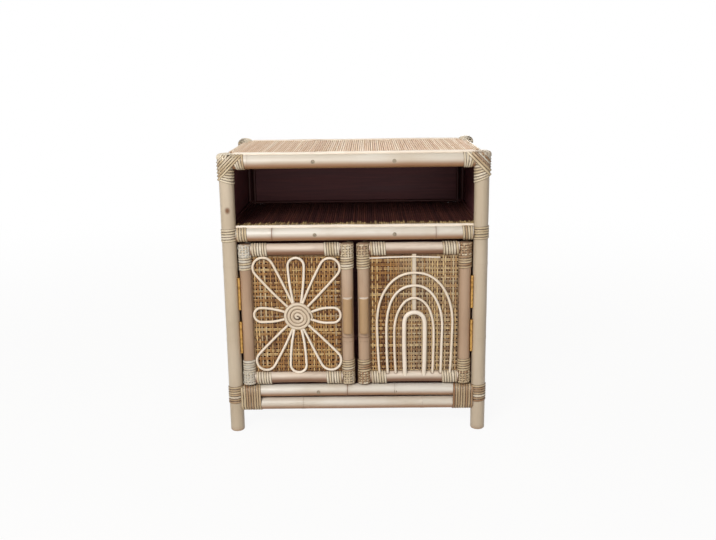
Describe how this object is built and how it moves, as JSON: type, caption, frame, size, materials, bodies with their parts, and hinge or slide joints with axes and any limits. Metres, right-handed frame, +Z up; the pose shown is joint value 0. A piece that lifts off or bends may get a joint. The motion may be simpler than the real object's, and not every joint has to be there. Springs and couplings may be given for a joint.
{
  "type": "storage side table",
  "caption": "Natural rattan side table: an open shelf above a cupboard with a pair of inset woven doors, one with a flower of cane loops and one with cane arches.",
  "frame": {"origin": "on the floor, under the centre of the outer box", "axes": "+Z up, +Y from the doors to the back, +X to the right of a person facing the doors"},
  "size_m": [0.5538, 0.3492, 0.6],
  "materials": {
    "rattan_pole": "satin natural rattan pole",
    "door_pole": "satin natural rattan pole, pinkish",
    "binding_cane": "split binding cane",
    "peeled_cane": "peeled pale cane",
    "core_weave": "open woven rattan core",
    "cane_strip_mat": "flat cane strips",
    "dark_board": "dark stained plywood",
    "hinge_brass": "aged brass",
    "screw_steel": "dull steel",
    "catch_plastic": "matte brown"
  },
  "bodies": {
    "cabinet": {"post_front_left": "rattan_pole", "post_front_right": "rattan_pole", "post_back_left": "rattan_pole", "post_back_right": "rattan_pole", "top_rail_front": "rattan_pole", "top_rail_back": "rattan_pole", "top_rail_left": "rattan_pole", "top_rail_right": "rattan_pole", "shelf_rail_front": "rattan_pole", "shelf_rail_back": "rattan_pole", "shelf_rail_left": "rattan_pole", "shelf_rail_right": "rattan_pole", "base_rail_front_upper": "rattan_pole", "base_rail_front_lower": "rattan_pole", "base_rail_back": "rattan_pole", "base_rail_left": "rattan_pole", "base_rail_right": "rattan_pole", "bindings_top": "binding_cane", "bindings_shelf": "binding_cane", "bindings_base": "binding_cane", "edge_trims": "peeled_cane", "side_weave_left": "core_weave", "side_weave_right": "core_weave", "top_mat": "cane_strip_mat", "shelf_mat": "cane_strip_mat", "top_board": "dark_board", "shelf_board": "dark_board", "floor_board": "dark_board", "back_board": "dark_board", "side_board_left": "dark_board", "side_board_right": "dark_board", "deck_battens": "dark_board", "hinge_frame_leaves": "hinge_brass", "hinge_pins": "hinge_brass", "frame_screws": "screw_steel", "magnet_catches": "catch_plastic"},
    "left_door": {"left_door_hinge_stile": "door_pole", "left_door_meeting_stile": "door_pole", "left_door_top_rail": "door_pole", "left_door_bottom_rail": "door_pole", "left_door_pull": "door_pole", "left_door_bindings": "binding_cane", "left_door_weave": "core_weave", "left_door_hinge_leaves": "hinge_brass", "left_door_hinge_screws": "hinge_brass", "left_door_strike": "screw_steel", "flower_petals": "peeled_cane", "flower_spiral": "peeled_cane"},
    "right_door": {"right_door_hinge_stile": "door_pole", "right_door_meeting_stile": "door_pole", "right_door_top_rail": "door_pole", "right_door_bottom_rail": "door_pole", "right_door_pull": "door_pole", "right_door_bindings": "binding_cane", "right_door_weave": "core_weave", "right_door_hinge_leaves": "hinge_brass", "right_door_hinge_screws": "hinge_brass", "right_door_strike": "screw_steel", "rainbow_arches": "peeled_cane", "rainbow_spine": "peeled_cane"}
  },
  "joints": [
    {"name": "left_door_swing", "type": "hinge", "parent": "cabinet", "child": "left_door", "pos_m": [-0.24289, -0.15879, 0.259], "axis": [0, 0, -1], "range_deg": [0, 95]},
    {"name": "right_door_swing", "type": "hinge", "parent": "cabinet", "child": "right_door", "pos_m": [0.24289, -0.15879, 0.259], "axis": [0, 0, 1], "range_deg": [0, 95]}
  ]
}
